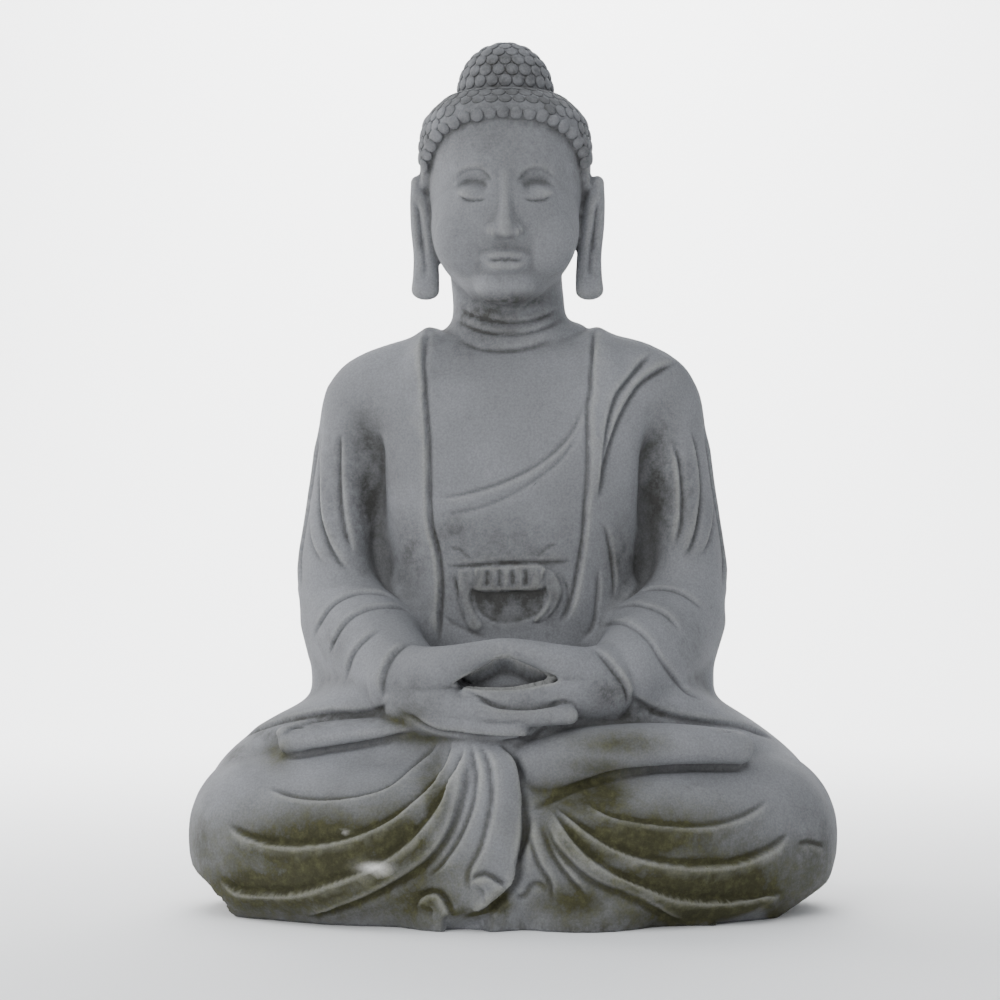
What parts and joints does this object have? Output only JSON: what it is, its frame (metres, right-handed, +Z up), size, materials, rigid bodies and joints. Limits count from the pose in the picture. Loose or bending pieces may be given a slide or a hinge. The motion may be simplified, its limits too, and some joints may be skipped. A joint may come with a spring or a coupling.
{
  "type": "seated buddha statue",
  "caption": "Weathered cast concrete Buddha seated cross-legged in meditation, with a draped robe, hands in the lap and a cap of curled hair, for standing in a garden",
  "frame": {"origin": "middle of the bounding box at ground level, under the statue", "axes": "the figure faces -Y, its own left side is at +X and +Z is up"},
  "size_m": [0.7436, 0.4884, 1.0047],
  "materials": {
    "concrete": "matte cast concrete with fine pores, weathered, with moss in the folds"
  },
  "bodies": {
    "root": {"buddha_statue": "concrete"}
  },
  "joints": []
}
